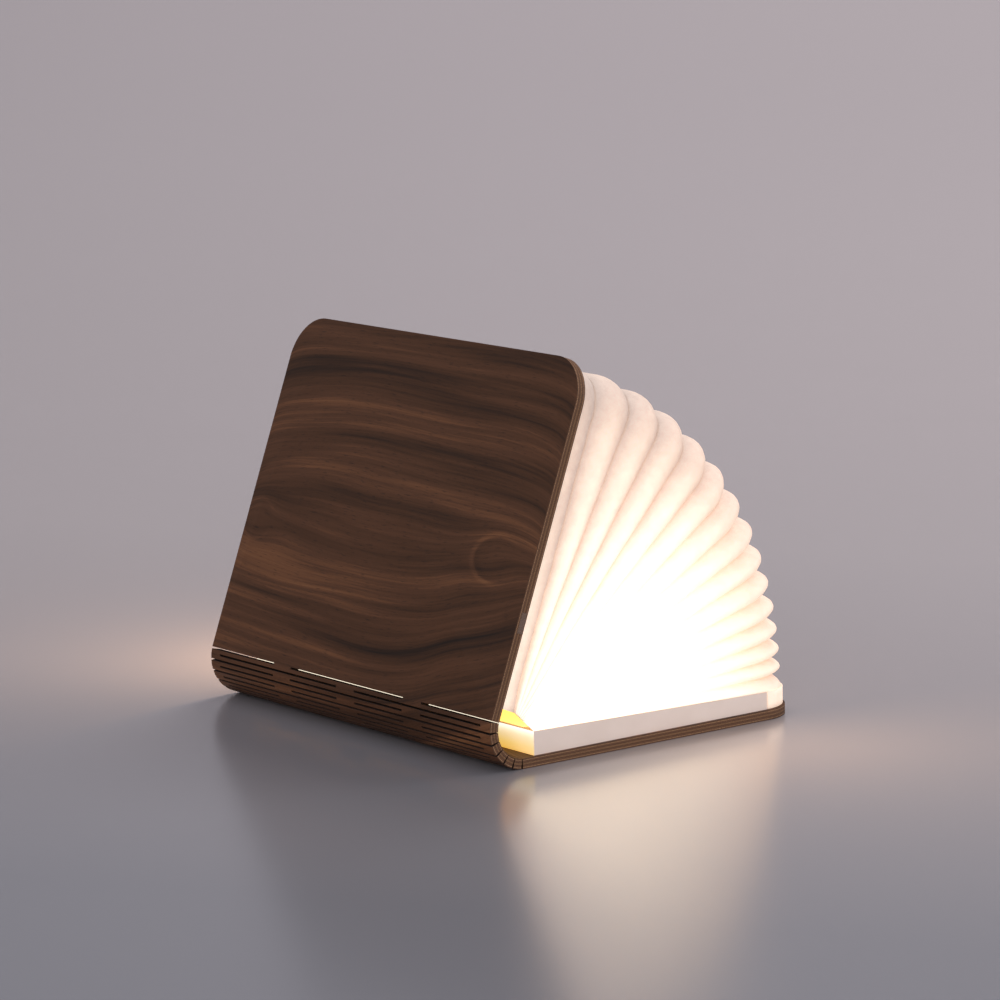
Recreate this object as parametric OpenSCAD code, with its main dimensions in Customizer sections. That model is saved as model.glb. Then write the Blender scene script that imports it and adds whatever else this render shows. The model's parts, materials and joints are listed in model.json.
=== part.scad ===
// Folding book lamp: a veneered plywood case whose spine is a laser-cut living hinge,
// a wedge-shaped light block on the base cover, and a pleated paper bellows between the covers.
// X runs from the spine to the fore-edge, Y along the spine, Z up.
// The origin is the centre of the base cover's underside.

/* [Case] */
// Length of the case along the spine
case_len = 215; // [180:1:260]
// Width of one cover, from the spine to the fore-edge
cover_w = 160; // [140:1:200]
// Thickness of the plywood
ply_t = 4.6; // [3.8:0.1:5.4]
// Radius of the covers' fore corners
corner_r = 20; // [12:1:26]
// Angle between the covers
open_angle = 69.5; // [60:0.5:80]

/* [Living hinge] */
// Distance from one row of slits to the next
slit_pitch = 2.4; // [2.2:0.05:2.8]
// Width of a slit in the flat sheet
slit_gap = 0.6; // [0.56:0.02:0.8]
// Length of the bridges that interrupt the slits
bridge_len = 13.5; // [8:0.5:20]
// Distance of the odd rows' bridges from the middle
bridge_from_middle = 50; // [40:1:60]
// Length of the bridges at the ends of the even rows
end_bridge_len = 7; // [4:0.5:10]
// Thickness of a bridge's web at mid-ply
web_t = 1; // [0.6:0.1:1.1]
// Clearance between a web and the next slat
web_clear = 0.15; // [0.14:0.01:0.2]

/* [Light block] */
// Height of the light block beside the spine
block_high = 10.8; // [9:0.1:11]
// Height of the light block at the fore-edge
block_low = 7.6; // [7.4:0.1:9]
// Distance from the hinge line to the block
block_from_hinge = 6.5; // [4:0.5:10]
// How far the block stands back from the base cover's edges
block_inset = 1.5; // [0.6:0.1:3]
// Wall thickness of the block's shell
shell_wall = 1.2; // [0.8:0.1:1.4]
// Thickness of the floor plate
floor_t = 1.2; // [1.1:0.1:1.4]
// Clearance between fitted pieces
fit_clear = 0.2; // [0.1:0.05:0.3]

/* [Pages] */
// Height of the lowest fold line's root above the block
root_rise = 0.7; // [0.6:0.1:1.4]
// Run of the pleats' roots from the block towards the spine
root_run = 9.4; // [6:0.2:11]
// Climb of the pleats' roots from the block to the upper cover
root_climb = 8.7; // [7:0.1:9.5]
// Reach of the pleats from the middle of their roots
page_reach = 154; // [140:1:154.5]
// Angle of the lowest fold line
fan_low = -0.8; // [-1:0.1:1]
// Angle that the lowest pleat takes up
pleat_low = 2.9; // [2.8:0.1:3.4]
// Depth of the folds at the fore-edge
fold_depth = 34; // [20:1:40]
// Depth of the folds at their roots
root_depth = 1.5; // [1:0.1:3]
// Thickness of the paper
paper_t = 0.4; // [0.3:0.05:0.5]
// Gap between the pleats, and from the pleats to what they are glued to
fold_gap = 0.3; // [0.2:0.05:0.3]
// Share of a pleat's width that its crest takes up
crest_share = 0.9; // [0.84:0.01:0.94]
// How far a pleat's crest is rounded, as a share of half its width
crest_round = 0.8; // [0.5:0.05:0.9]
// Gap between the paper flap on the block's fore-edge and the base cover
flap_clear = 0.3; // [0.2:0.1:0.6]

/* [Electronics] */
// Thickness of the battery cell
battery_t = 5; // [4:0.1:5.2]
// Width of the battery cell
battery_w = 55; // [40:1:60]
// Length of the battery cell
battery_len = 95; // [70:1:100]
// Thickness of the circuit boards
board_t = 1.2; // [1:0.1:1.6]
// Height of the boards above the floor plate
board_rise = 1; // [0.8:0.1:1.4]
// Width of the charging socket
socket_w = 8.9; // [8:0.1:10]
// Height of the charging socket
socket_h = 3.2; // [2.8:0.1:3.4]
// Width of the light strip
strip_w = 8; // [6:0.5:9]
// Distance from the block's ends to the light strip
strip_inset = 13; // [8:0.5:30]
// Distance between light-emitting diodes
led_pitch = 7.5; // [6:0.5:12]
// Width of the diffuser
diffuser_w = 13; // [12:0.5:14]
// Height of the diffuser
diffuser_h = 3.6; // [3.4:0.1:3.8]
// Diameter of the inner leads
lead_d = 1.2; // [0.8:0.1:1.4]

/* [Magnets] */
// Diameter of the closing magnets
magnet_d = 12; // [8:0.5:14]
// Thickness of the closing magnets
magnet_t = 2.6; // [2:0.1:2.8]
// Distance of the closing magnets from the fore-edge
magnet_from_edge = 22; // [16:1:30]
// Distance of the closing magnets from the middle
magnet_from_middle = 78; // [60:1:84]
// Distance from the hinge line to the wooden plug in the upper cover's edge
plug_from_hinge = 43; // [36:1:60]
// Length of the wooden plug along the edge
plug_len = 9.2; // [7:0.1:12]
// Depth of the wooden plug
plug_deep = 3; // [2:0.5:5]
// Thickness of the wooden plug and of the sensor magnet behind it
plug_t = 2.6; // [2:0.1:3]

/* [Hidden] */

walnut = "#6a4a38";
walnut_light = "#8a6850";
paper_colour = "#fff1d8";
abs_white = "#e8e2dc";

// The spine has 13 rows of slits, which leave 12 slats between the covers
slit_rows = 13;
slat_turn = (180 - open_angle) / slit_rows;
spine_len = slit_rows * slit_pitch;

// Where the row of slits number j lies along the flat sheet, and in the bent spine
function flat_slit(j) = -(j - 0.5) * slit_pitch;
function heading(j) = [-cos(j * slat_turn), sin(j * slat_turn)];
function slit_axis(j) = j == 1
    ? [flat_slit(1), ply_t / 2]
    : slit_axis(j - 1) + slit_pitch * heading(j - 1);

// Where a point of the flat sheet, at height h over its underside, comes to lie past j rows
function bent(x, h, j) = slit_axis(j)
    + (flat_slit(j) - x) * heading(j)
    + (h - ply_t / 2) * [sin(j * slat_turn), cos(j * slat_turn)];

// The block's top slopes down from the spine to the fore-edge
block_x0 = block_from_hinge;
block_x1 = cover_w - block_inset;
block_half = case_len / 2 - block_inset;
block_r = corner_r - block_inset;
block_slope = (block_high - block_low) / (block_x1 - block_x0);
slope_angle = atan(block_slope);
floor_top = ply_t + floor_t;
strip_len = 2 * (block_half - strip_inset);
function block_top(x) = ply_t + block_high - block_slope * (x - block_x0);

// The pleats: fold line k runs from its root to its tip, for k from 0 to pleats
pleats = 13;
root_low = [block_x0, block_top(block_x0) + root_rise];
root_high = root_low + [-root_run, root_climb];
fan_centre = (root_low + root_high) / 2;
fan_high = open_angle + 2.5;
pleat_growth = 2 * (fan_high - fan_low - pleats * pleat_low) / (pleats * (pleats - 1));
function fold_angle(k) = fan_low + pleat_low * k + pleat_growth * k * (k - 1) / 2;
function fold_root(k) = root_low + (root_high - root_low) * k / pleats;
function fold_tip(k) = fan_centre + page_reach * [cos(fold_angle(k)), sin(fold_angle(k))];

// The pages' plan: crest line and valley line, as points from the near root round to the far one
page_half = block_half;
page_r = block_r;
valley_r = page_r / 2;
side_steps = [0, 0.1, 0.35, 0.7];
arc_steps = 5;
function u_side(reach, half, r, drift) = [
    for (s = side_steps) [(reach - r) * s, -half - drift * (1 - s)]
];
function u_arc(reach, half, r) = [
    for (i = [0:arc_steps]) let (a = -90 + 90 * i / arc_steps)
        [reach - r + r * cos(a), -half + r + r * sin(a)]
];
function u_half(reach, half, r, drift) = concat(
    u_side(reach, half, r, drift), u_arc(reach, half, r), [[reach, -half / 3]]
);
function mirrored(points) = [
    for (i = [len(points) - 1:-1:0]) [points[i].x, -points[i].y]
];
function whole_u(points) = concat(points, mirrored(points));
function crest_line(reach) = whole_u(u_half(reach, page_half, page_r, 0));
function valley_line(reach) = whole_u(u_half(
    reach - fold_depth, page_half - fold_depth, valley_r, fold_depth - root_depth
));

// A leaf's cross-section from its crest to its upper valley, as points of
// [share of half the width, share of the folds' depth, share of half the width as rounding]
half_section = [
    [0, 0, 0], [0.62 * crest_share, 0, 0.25 * crest_round], [crest_share, 0, crest_round], [1, 1, 0]
];
lower_half = [for (i = [3:-1:0]) [-half_section[i][0], half_section[i][1], half_section[i][2]]];
pleat_section = concat(lower_half, [for (i = [1:3]) half_section[i]]);

// The point of a leaf at section point s, at station i, on the outer (skin 0) or inner (skin 1)
// face; low and high give the two fold lines as [root, tip], and f is where between them it lies
function leaf_point(low, high, plan, section, s, skin, i) =
    let (
        first = section[0][0],
        extent = section[len(section) - 1][0] - first,
        out = plan[0][i],
        in = plan[1][i],
        share = out.x / plan[2],
        width = norm(high[0] - low[0]) * (1 - share) + norm(high[1] - low[1]) * share,
        wall = min(paper_t, 0.3 * (width - fold_gap)),
        depth = norm(in - out),
        rounding = s[2] * min(width / extent, 0.7 * depth),
        inset = s[1] * depth + rounding + skin * wall * (1 - s[1]),
        p = out + (in - out) * inset / depth,
        span = (width - fold_gap - 2 * skin * wall) / width,
        f = 0.5 + span * ((s[0] - first) / extent - 0.5),
        root = low[0] + (high[0] - low[0]) * f,
        tip = low[1] + (high[1] - low[1]) * f,
        at = root + (tip - root) * p.x / plan[2]
    )
    [at[0], p.y, at[1]];

// Joins rings of points, all of one count, to a closed solid; the second half mirrors the first
module ring_solid(rings) {
    count = len(rings[0]);
    last = len(rings) - 1;
    sides = [
        for (i = [0:last - 1], j = [0:count - 1])
            let (a = i * count + j, b = i * count + (j + 1) % count)
            each i < last / 2
                ? [[a, b, b + count], [a, b + count, a + count]]
                : [[a, b, a + count], [b, b + count, a + count]]
    ];
    half = count / 2;
    first_cap = [
        for (j = [0:half - 2])
            each [[j, count - 1 - j, j + 1], [j + 1, count - 1 - j, count - 2 - j]]
    ];
    last_cap = [for (f = first_cap) [for (v = [f[0], f[2], f[1]]) v + last * count]];
    polyhedron(points = [for (r = rings) each r], faces = concat(sides, first_cap, last_cap));
}

// The sheet between two fold lines, with the given section
module leaf(low, high, section) {
    plan = [crest_line(page_reach), valley_line(page_reach), page_reach];
    last = len(section) - 1;
    rings = [
        for (i = [0:len(plan[0]) - 1]) concat(
            [for (s = section) leaf_point(low, high, plan, section, s, 0, i)],
            [for (n = [last:-1:0]) leaf_point(low, high, plan, section, section[n], 1, i)]
        )
    ];
    ring_solid(rings);
}

module in_case() {
    translate([-cover_w / 2, 0, 0]) children();
}

// Takes a piece of the flat sheet to where it lies past j rows of slits
module past_slits(j) {
    a = slit_axis(j);
    translate([a[0], 0, a[1]])
        rotate([0, j * slat_turn, 0])
            translate([-flat_slit(j), 0, -ply_t / 2])
                children();
}

// Box from low to high corner, centred on Y
module slab(x0, x1, width, z0, z1) {
    translate([x0, -width / 2, z0]) cube([x1 - x0, width, z1 - z0]);
}

// The webs that bridge a row of slits: odd rows have two, even rows one in the middle and the ends
module bridge_webs(row) {
    x1 = flat_slit(row) + slit_gap / 2;
    x0 = flat_slit(row) - slit_gap / 2 + web_clear;
    z0 = (ply_t - web_t) / 2;
    if (row % 2 == 1) {
        for (side = [-1, 1])
            translate([0, side * bridge_from_middle, 0])
                slab(x0, x1, bridge_len, z0, z0 + web_t);
    } else {
        slab(x0, x1, bridge_len, z0, z0 + web_t);
        for (side = [-1, 1])
            translate([0, side * (case_len - end_bridge_len) / 2, 0])
                slab(x0, x1, end_bridge_len, z0, z0 + web_t);
    }
}

// Plan of a cover from x = start to its fore-edge, with rounded fore corners
module cover_plan(start, end, half, r) {
    translate([start, -half]) square([end - r - start, 2 * half]);
    translate([start, -half + r]) square([end - start, 2 * (half - r)]);
    for (side = [-1, 1])
        translate([end - r, side * (half - r)]) circle(r, $fn = 96);
}

// Plan of the light block from x = start, grown by a margin
module block_plan(start, margin) {
    cover_plan(start, block_x1 + margin, block_half + margin, block_r + margin);
}

module screw_places() {
    for (x = [block_x0 + 12, (block_x0 + block_x1) / 2 - 10, block_x1 - 14], side = [-1, 1])
        translate([x, side * (block_half - 14), 0]) children();
}

screw_d = 2.2;
screw_head_d = 4.4;
screw_deep = ply_t - 1;

module base_cover() {
    color(walnut) in_case() {
        difference() {
            linear_extrude(ply_t)
                cover_plan(flat_slit(1) + slit_gap / 2, cover_w, case_len / 2, corner_r);
            for (side = [-1, 1])
                translate([cover_w - magnet_from_edge, side * magnet_from_middle, ply_t - magnet_t - fit_clear])
                    cylinder(d = magnet_d + fit_clear, h = magnet_t + 2 * fit_clear, $fn = 64);
            screw_places()
                translate([0, 0, ply_t - screw_deep])
                    cylinder(d = screw_d + fit_clear / 2, h = ply_t, $fn = 32);
        }
        bridge_webs(1);
    }
}

module spine_slat(j) {
    color(walnut_light) in_case() past_slits(j) {
        slab(flat_slit(j + 1) + slit_gap / 2, flat_slit(j) - slit_gap / 2, case_len, 0, ply_t);
        bridge_webs(j + 1);
    }
}

// Where the plug's slot lies in the flat sheet, at the near edge
plug_x = -(spine_len + plug_from_hinge);
plug_z = (ply_t - plug_t) / 2 + 0.4;
magnet_deep = 8;

module upper_cover() {
    color(walnut) in_case() past_slits(slit_rows) difference() {
        linear_extrude(ply_t)
            mirror([1, 0])
                cover_plan(
                    -flat_slit(slit_rows) + slit_gap / 2, spine_len + cover_w, case_len / 2, corner_r
                );
        for (side = [-1, 1])
            translate([
                -(spine_len + cover_w - magnet_from_edge), side * magnet_from_middle,
                ply_t - magnet_t - fit_clear
            ])
                cylinder(d = magnet_d + fit_clear, h = magnet_t + 2 * fit_clear, $fn = 64);
        translate([plug_x - plug_len / 2 - fit_clear / 4, -case_len / 2 - 1, plug_z - fit_clear / 4])
            cube([
                plug_len + fit_clear / 2, 1 + plug_deep + magnet_deep + fit_clear,
                plug_t + fit_clear / 2
            ]);
    }
}

module edge_plug() {
    color(walnut_light) in_case() past_slits(slit_rows)
        translate([plug_x - plug_len / 2, -case_len / 2, plug_z])
            cube([plug_len, plug_deep, plug_t]);
}

module sensor_magnet() {
    color("silver") in_case() past_slits(slit_rows)
        translate([plug_x - plug_len / 2 + fit_clear, -case_len / 2 + plug_deep, plug_z])
            cube([plug_len - 2 * fit_clear, magnet_deep, plug_t]);
}

module closing_magnets(x) {
    for (side = [-1, 1])
        translate([x, side * magnet_from_middle, ply_t - magnet_t])
            cylinder(d = magnet_d, h = magnet_t, $fn = 64);
}

module base_magnets() {
    color("silver") in_case() closing_magnets(cover_w - magnet_from_edge);
}

module cover_magnets() {
    color("silver") in_case() past_slits(slit_rows)
        closing_magnets(-(spine_len + cover_w - magnet_from_edge));
}

// The wedge under the block's sloping top, lowered by drop
module under_slope(drop) {
    far = case_len;
    rotate([90, 0, 0]) linear_extrude(far, center = true) polygon([
        [0, 0], [0, block_top(0) - drop],
        [cover_w, block_top(cover_w) - drop], [cover_w, 0]
    ]);
}

socket_deep = 7.4;
socket_x = 30;
board_z = floor_top + board_rise;
lead_hole_y = strip_len / 2 - 10;
strip_x = block_x0 + 2 + diffuser_w / 2;
light_lead_x = strip_x + 2;

module block_shell() {
    color(abs_white) in_case() difference() {
        intersection() {
            translate([0, 0, ply_t])
                linear_extrude(block_high) block_plan(block_x0, 0);
            under_slope(0);
        }
        intersection() {
            translate([0, 0, ply_t - 1])
                linear_extrude(block_high) block_plan(block_x0 + shell_wall, -shell_wall);
            under_slope(shell_wall);
        }
        // window for the charging socket in the head wall
        translate([
            socket_x - socket_w / 2 - fit_clear, block_half - shell_wall - 1,
            board_z + board_t - fit_clear
        ])
            cube([socket_w + 2 * fit_clear, shell_wall + 2, socket_h + 2 * fit_clear]);
        // hole for the light strip's lead
        translate([light_lead_x, lead_hole_y, board_z + board_t])
            cylinder(d = lead_d + 2 * fit_clear, h = block_high, $fn = 32);
    }
}

module block_floor() {
    edge = shell_wall + fit_clear;
    color(abs_white) in_case() difference() {
        translate([0, 0, ply_t])
            linear_extrude(floor_t) block_plan(block_x0 + edge, -edge);
        screw_places() {
            translate([0, 0, ply_t - 1])
                cylinder(d = screw_d + fit_clear, h = floor_t + 2, $fn = 32);
            translate([0, 0, floor_top - floor_t / 2])
                cylinder(d = screw_head_d + fit_clear, h = floor_t, $fn = 32);
        }
    }
}

module floor_screws() {
    color("silver") in_case() screw_places() {
        translate([0, 0, ply_t - screw_deep + fit_clear])
            cylinder(d = screw_d, h = floor_top - floor_t / 2 - (ply_t - screw_deep), $fn = 32);
        difference() {
            translate([0, 0, floor_top - floor_t / 2])
                cylinder(d = screw_head_d, h = floor_t / 2, $fn = 32);
            translate([0, 0, floor_top])
                cube([2.4, 0.5, 0.5], center = true);
        }
    }
}

battery_x = (block_x0 + block_x1) / 2 + 14;

module battery_cell() {
    r = battery_t / 2;
    color("silver") in_case()
        translate([battery_x - battery_w / 2, -battery_len / 2, floor_top]) {
            translate([r, 0, 0]) cube([battery_w - battery_t, battery_len, battery_t]);
            for (x = [r, battery_w - r])
                translate([x, battery_len, r])
                    rotate([90, 0, 0]) cylinder(r = r, h = battery_len, $fn = 48);
        }
}

// Straight runs of insulated wire from point to point, rounded at the turns
module wire(points) {
    for (i = [0:len(points) - 2]) {
        run = points[i + 1] - points[i];
        turn = run.x != 0 ? [0, 90, 0] : run.y != 0 ? [-90, 0, 0] : [0, 0, 0];
        start = run * [1, 1, 1] > 0 ? points[i] : points[i + 1];
        translate(start) rotate(turn) cylinder(d = lead_d, h = norm(run), $fn = 16);
    }
    if (len(points) > 2)
        for (i = [1:len(points) - 2]) translate(points[i]) sphere(d = lead_d, $fn = 16);
}

board_w = 30;
board_len = 62;
board_x = socket_x - board_w / 2;
board_y1 = block_half - shell_wall - fit_clear;
board_y0 = board_y1 - board_len;

module main_board() {
    chips = [[7, 8, 7, 7, 1], [20, 12, 5, 5, 1], [8, 26, 6, 4, 2.4], [19, 30, 4, 4, 1.8]];
    color("#2f6b45") in_case() {
        difference() {
            translate([board_x, board_y0, board_z]) cube([board_w, board_len, board_t]);
            board_screw_places()
                translate([0, 0, board_z - 1]) cylinder(d = screw_d + fit_clear, h = 4, $fn = 32);
        }
        for (c = chips)
            translate([board_x + c[0], board_y0 + c[1], board_z + board_t]) cube([c[2], c[3], c[4]]);
        // stand-offs under the board
        for (x = [5, board_w - 5], y = [16, board_len - 18])
            translate([board_x + x, board_y0 + y, floor_top]) cylinder(d = 3, h = board_rise, $fn = 32);
    }
}

module board_screw_places() {
    for (y = [4, board_len - 4])
        translate([board_x + 4, board_y0 + y, 0]) children();
}

module board_screws() {
    color("silver") in_case() board_screw_places() {
        translate([0, 0, floor_top]) cylinder(d = screw_d, h = board_rise + board_t, $fn = 32);
        difference() {
            translate([0, 0, board_z + board_t]) cylinder(d = screw_head_d, h = 1, $fn = 32);
            translate([0, 0, board_z + board_t + 1]) cube([2.4, 0.5, 0.5], center = true);
        }
    }
}

module socket_plan(w, h) {
    translate([0, h / 2]) {
        square([w - h, h], center = true);
        for (side = [-1, 1]) translate([side * (w - h) / 2, 0]) circle(d = h, $fn = 48);
    }
}

module charging_socket() {
    wall = 0.35;
    color("silver") in_case()
        translate([socket_x, block_half - 0.2, board_z + board_t]) rotate([90, 0, 0]) {
            difference() {
                linear_extrude(socket_deep) socket_plan(socket_w, socket_h);
                translate([0, wall, -1])
                    linear_extrude(socket_deep - 0.4) socket_plan(socket_w - 2 * wall, socket_h - 2 * wall);
            }
            translate([-3.2, socket_h / 2 - 0.35, 0.8]) cube([6.4, 0.7, socket_deep - 1.3]);
        }
}

sensor_x = plug_from_hinge;
sensor_y = -(block_half - shell_wall - 1);
sensor_board_len = 14;

module sensor_board() {
    color("#2f6b45") in_case() {
        translate([sensor_x - 5, sensor_y, board_z]) cube([10, sensor_board_len, board_t]);
        translate([sensor_x - 2, sensor_y + 3, board_z + board_t]) cube([4, 3, 1.4]);
        for (y = [2.5, 11.5])
            translate([sensor_x, sensor_y + y, floor_top]) cylinder(d = 3, h = board_rise, $fn = 32);
    }
}

lead_z = board_z + board_t / 2;
battery_lead_y = min(board_y0 - 7, battery_len / 2 - 8);
sensor_lead_y = battery_lead_y - 5;

module sensor_lead() {
    color("black") in_case() wire([
        [sensor_x, sensor_y + sensor_board_len, lead_z],
        [sensor_x, sensor_lead_y, lead_z],
        [board_x + 20, sensor_lead_y, lead_z],
        [board_x + 20, board_y0, lead_z]
    ]);
}

module battery_lead() {
    color("#b03028") in_case() wire([
        [battery_x - battery_w / 2, battery_lead_y, lead_z],
        [board_x + 26, battery_lead_y, lead_z],
        [board_x + 26, board_y0, lead_z]
    ]);
}

// Takes pieces to the light strip's seat on the block's sloping top
module on_slope() {
    translate([strip_x, 0, block_top(strip_x)]) rotate([0, slope_angle, 0]) children();
}

strip_t = 1;
led_w = 2.8;
led_h = 0.8;
leds = floor((strip_len - 8) / led_pitch);

module light_strip() {
    color("#f4f2ea") in_case() on_slope() slab(-strip_w / 2, strip_w / 2, strip_len, 0, strip_t);
}

module light_diodes() {
    color("#ffe28a") in_case() on_slope()
        for (i = [0:leds - 1])
            translate([0, (i - (leds - 1) / 2) * led_pitch, strip_t + led_h / 2])
                cube([led_w, 3.5, led_h], center = true);
}

module light_lead() {
    color("white") in_case() wire([
        [light_lead_x, lead_hole_y, block_top(light_lead_x) - fit_clear / 2],
        [light_lead_x, lead_hole_y, board_z + board_t]
    ]);
}

// Plan of the diffuser's section: a segment of a circle on a flat foot
module bow(w, h) {
    r = (w * w / 4 + h * h) / (2 * h);
    intersection() {
        translate([0, h - r]) circle(r, $fn = 128);
        translate([-w / 2, 0]) square([w, h]);
    }
}

module light_diffuser() {
    wall = 0.9;
    over = 3;
    color("#fff6dc") in_case() on_slope() rotate([90, 0, 0]) difference() {
        linear_extrude(strip_len + 2 * over, center = true) bow(diffuser_w, diffuser_h);
        linear_extrude(strip_len + fit_clear, center = true)
            translate([0, -wall]) bow(diffuser_w - 2 * wall, diffuser_h);
    }
}

module page_pleat(k) {
    color(paper_colour) in_case()
        leaf([fold_root(k - 1), fold_tip(k - 1)], [fold_root(k), fold_tip(k)], pleat_section);
}

// The end leaves are half pleats: the lower one lies on the block, the upper one on the cover
module page_end_lower() {
    low = [for (x = [block_x0, block_x1]) [x, block_top(x) + fold_gap / 2]];
    high = [fold_root(0), fold_tip(0)];
    color(paper_colour) in_case() {
        leaf(low, high, half_section);
        fore_flap();
    }
}

// The paper's end lies on the block's top at the fore-edge and goes down that edge
module fore_flap() {
    start = block_x1 - block_r;
    skin = fold_gap / 2;
    intersection() {
        difference() {
            translate([0, 0, ply_t + flap_clear])
                linear_extrude(block_high) block_plan(block_x0, skin + paper_t);
            intersection() {
                linear_extrude(ply_t + 2 * block_high) block_plan(block_x0, skin);
                under_slope(-fold_gap);
            }
        }
        under_slope(-fold_gap - paper_t);
        slab(start, cover_w, case_len, 0, ply_t + 2 * block_high);
    }
}

upper_start = 5.3;

module page_end_upper() {
    at = fold_tip(pleats);
    along = (at - bent(-spine_len, ply_t, slit_rows)) * heading(slit_rows);
    near = bent(-spine_len - upper_start, ply_t + fold_gap / 2, slit_rows);
    far = bent(-spine_len - along, ply_t + fold_gap / 2, slit_rows);
    color(paper_colour) in_case()
        leaf([fold_root(pleats), at], [near, far], lower_half);
}

base_cover();
spine_slat(1);  // spine_slat_01
spine_slat(2);  // spine_slat_02
spine_slat(3);  // spine_slat_03
spine_slat(4);  // spine_slat_04
spine_slat(5);  // spine_slat_05
spine_slat(6);  // spine_slat_06
spine_slat(7);  // spine_slat_07
spine_slat(8);  // spine_slat_08
spine_slat(9);  // spine_slat_09
spine_slat(10);  // spine_slat_10
spine_slat(11);  // spine_slat_11
spine_slat(12);  // spine_slat_12
upper_cover();
block_shell();
block_floor();
floor_screws();
battery_cell();
battery_lead();
main_board();
board_screws();
charging_socket();
sensor_board();
sensor_lead();
light_strip();
light_diodes();
light_lead();
light_diffuser();
edge_plug();
sensor_magnet();
base_magnets();
cover_magnets();
page_end_lower();
page_pleat(1);  // page_pleat_01
page_pleat(2);  // page_pleat_02
page_pleat(3);  // page_pleat_03
page_pleat(4);  // page_pleat_04
page_pleat(5);  // page_pleat_05
page_pleat(6);  // page_pleat_06
page_pleat(7);  // page_pleat_07
page_pleat(8);  // page_pleat_08
page_pleat(9);  // page_pleat_09
page_pleat(10);  // page_pleat_10
page_pleat(11);  // page_pleat_11
page_pleat(12);  // page_pleat_12
page_pleat(13);  // page_pleat_13
page_end_upper();
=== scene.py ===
# %% [markdown]
# # A folding book lamp
# The lamp is a book of walnut-faced plywood. Its two covers and its spine are one board:
# a laser has cut rows of slits across the spine, and the thin slats between them can bend.
# Between the covers a sheet of pleated paper opens like a fan, lit from inside by a strip
# of small lights that lies on a low white block. The rigid pieces arrive as a fixed frame;
# this file gives them their finishes and builds the pieces that bend.

import json
import math

import bpy
import numpy as np
from mathutils import Matrix, Vector, noise
from mathutils.bvhtree import BVHTree


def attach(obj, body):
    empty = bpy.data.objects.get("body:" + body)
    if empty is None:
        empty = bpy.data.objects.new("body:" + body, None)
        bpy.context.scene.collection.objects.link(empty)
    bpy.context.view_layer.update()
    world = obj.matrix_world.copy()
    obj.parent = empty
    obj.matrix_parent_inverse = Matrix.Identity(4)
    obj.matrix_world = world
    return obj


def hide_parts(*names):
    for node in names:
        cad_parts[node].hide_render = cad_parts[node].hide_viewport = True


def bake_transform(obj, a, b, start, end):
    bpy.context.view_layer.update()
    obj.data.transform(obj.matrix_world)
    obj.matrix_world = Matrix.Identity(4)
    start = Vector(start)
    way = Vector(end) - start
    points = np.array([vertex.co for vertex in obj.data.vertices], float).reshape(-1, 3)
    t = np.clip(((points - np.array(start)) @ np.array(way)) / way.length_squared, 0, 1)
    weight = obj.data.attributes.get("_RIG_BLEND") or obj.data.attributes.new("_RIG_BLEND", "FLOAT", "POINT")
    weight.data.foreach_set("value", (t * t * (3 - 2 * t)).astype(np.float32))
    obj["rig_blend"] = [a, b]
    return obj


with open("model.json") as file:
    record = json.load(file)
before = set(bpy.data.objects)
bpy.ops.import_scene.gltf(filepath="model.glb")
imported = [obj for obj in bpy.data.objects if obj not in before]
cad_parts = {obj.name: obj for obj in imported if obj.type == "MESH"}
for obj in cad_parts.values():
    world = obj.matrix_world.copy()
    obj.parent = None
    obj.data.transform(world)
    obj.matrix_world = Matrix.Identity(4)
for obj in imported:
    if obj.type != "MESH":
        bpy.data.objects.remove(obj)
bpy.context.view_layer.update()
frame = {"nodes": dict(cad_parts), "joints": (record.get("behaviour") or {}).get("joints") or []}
nodes = frame["nodes"]
bpy.ops.object.select_all(action="DESELECT")

# %% [markdown]
# ## Sizes
# Real sizes are easiest to think about in millimetres, while Blender counts in metres, so
# one constant turns the one into the other. The frame's own zero is the middle of the base
# cover, and the drawing's zero is where the spine starts to bend, 80 mm to the left of it.

# %% Sizes of the case and its spine
MM = 0.001
COVER_W, CASE_LEN, PLY = 160.0, 215.0, 4.6
OPEN_ANGLE, ROWS, PITCH, SLIT = 69.5, 13, 2.4, 0.6
REST_TURN = (180 - OPEN_ANGLE) / ROWS
BODIES = ["base"] + [f"slat_{j:02d}" for j in range(1, ROWS)] + ["upper_cover"]
PIVOTS = [np.array(j["pos_m"]) / MM + (COVER_W / 2, 0, 0) for j in frame["joints"]]
print("slats turn", REST_TURN, "degrees each")


# %% [markdown]
# ## From the bent spine to the flat board
# The veneer's grain has to run on from cover to slat to cover, as it does on the real board,
# which was veneered before it was cut. So every wooden point gets a second position: where it
# lay while the board was still flat. The finishes read that position and not the bent one.

# %% Where a point lay in the flat board
def turned(angle):
    """Matrix of a turn about the spine's direction, in degrees."""
    c, s = math.cos(math.radians(angle)), math.sin(math.radians(angle))
    return np.array([[c, 0, s], [0, 1, 0], [-s, 0, c]])


def slit_middle(j):
    return np.array([-(j - 0.5) * PITCH, 0, PLY / 2])


def to_flat(points, j):
    """Points in millimetres on the board past j rows of slits, as they lay in the flat board."""
    if j == 0:
        return points
    return (points - PIVOTS[j - 1]) @ turned(j * REST_TURN) + slit_middle(j)


def from_flat(points, j):
    if j == 0:
        return points
    return (points - slit_middle(j)) @ turned(j * REST_TURN).T + PIVOTS[j - 1]


def places(mesh):
    """A mesh's points in the drawing's millimetres."""
    co = np.zeros(len(mesh.vertices) * 3)
    mesh.vertices.foreach_get("co", co)
    return co.reshape(-1, 3) / MM + (COVER_W / 2, 0, 0)


def in_frame(points):
    """Points of the drawing, in millimetres, as metres in the frame."""
    return (np.asarray(points) - (COVER_W / 2, 0, 0)) * MM


def put_places(mesh, points):
    mesh.vertices.foreach_set("co", in_frame(points).ravel())
    mesh.update()


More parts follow.
